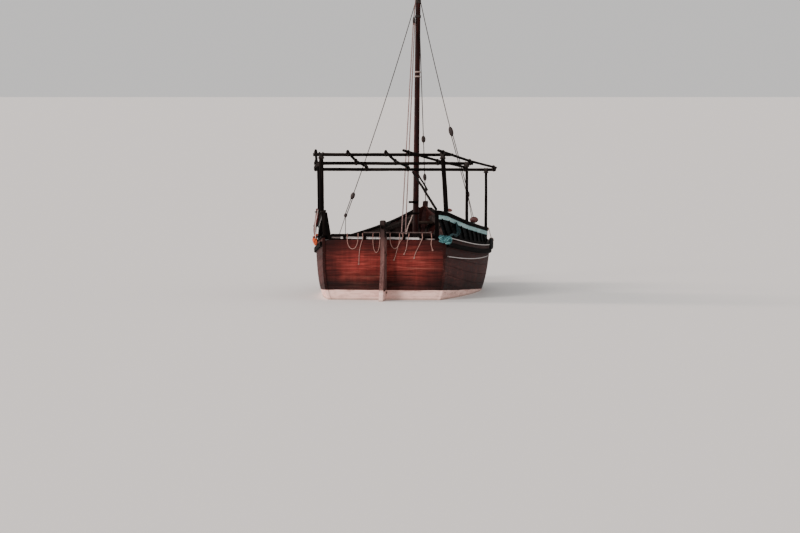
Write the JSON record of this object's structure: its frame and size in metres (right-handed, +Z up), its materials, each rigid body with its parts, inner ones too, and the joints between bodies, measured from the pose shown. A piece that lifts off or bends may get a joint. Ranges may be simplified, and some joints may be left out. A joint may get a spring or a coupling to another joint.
{
  "type": "dhow sailing boat",
  "caption": "Small open wooden dhow with a transom stern, poop rails, a bare canopy frame over the stern, one stayed mast and a hung rudder with tiller.",
  "frame": {"origin": "on the centreline amidships, at the waterline that the boat floats to", "axes": "+Y towards the bow, +X to starboard, +Z up"},
  "size_m": [3.8605, 9.838, 7.8259],
  "materials": {
    "hull_wood": "oiled reddish brown planks, white below the waterline",
    "weathered_wood": "near-black weathered timber",
    "deck_wood": "worn bare boards",
    "mast_wood": "oiled pole",
    "painted_strake": "pale turquoise paint, chalky",
    "iron": "rusty forged iron",
    "rope": "laid rope",
    "rubber": "dull, scuffed",
    "cloth": "furled flag cloth",
    "net": "turquoise net bundle"
  },
  "bodies": {
    "hull": {"keel": "hull_wood", "sternpost": "hull_wood", "stem": "hull_wood", "transom": "hull_wood", "hull_planking_port": "hull_wood", "hull_planking_starboard": "hull_wood", "wale_port": "weathered_wood", "wale_starboard": "weathered_wood", "gunwale_port": "weathered_wood", "gunwale_starboard": "weathered_wood", "rail_cap_port": "weathered_wood", "rail_cap_starboard": "weathered_wood", "rail_slats_port": "weathered_wood", "rail_slats_starboard": "weathered_wood", "corner_post_port": "weathered_wood", "corner_post_starboard": "weathered_wood", "transom_rail": "weathered_wood", "stowed_pole": "weathered_wood", "canopy_post_aft_port": "weathered_wood", "canopy_post_aft_starboard": "weathered_wood", "canopy_post_middle_port": "weathered_wood", "canopy_post_middle_starboard": "weathered_wood", "canopy_post_fore_port": "weathered_wood", "canopy_post_fore_starboard": "weathered_wood", "canopy_beam_aft": "weathered_wood", "canopy_beam_middle": "weathered_wood", "canopy_beam_fore": "weathered_wood", "canopy_pole_port_side": "weathered_wood", "canopy_pole_port_inner": "weathered_wood", "canopy_pole_centre": "weathered_wood", "canopy_pole_starboard_inner": "weathered_wood", "canopy_pole_starboard_side": "weathered_wood", "hold_floor": "deck_wood", "poop_deck": "deck_wood", "poop_bulkhead": "deck_wood", "foredeck": "deck_wood", "forepeak_bulkhead": "deck_wood", "beam_aft": "deck_wood", "beam_middle": "deck_wood", "mast_beam": "deck_wood", "mast_step": "deck_wood", "bow_beam": "deck_wood", "ribs_port": "deck_wood", "ribs_starboard": "deck_wood", "mast": "mast_wood", "painted_strake_port": "painted_strake", "painted_strake_starboard": "painted_strake", "gudgeon_1": "iron", "gudgeon_2": "iron", "gudgeon_3": "iron", "shroud_port": "rope", "shroud_starboard": "rope", "forestay": "rope", "halyard": "rope", "fender_tyre": "rubber", "furled_cloth": "cloth", "net_bundle": "net"},
    "rudder_body": {"rudder": "hull_wood", "tiller": "weathered_wood"}
  },
  "joints": [
    {"name": "rudder_turn", "type": "hinge", "parent": "hull", "child": "rudder_body", "pos_m": [0, -4.548, 0.15], "axis": [0, 0, 1], "range_deg": [-35, 35]}
  ]
}
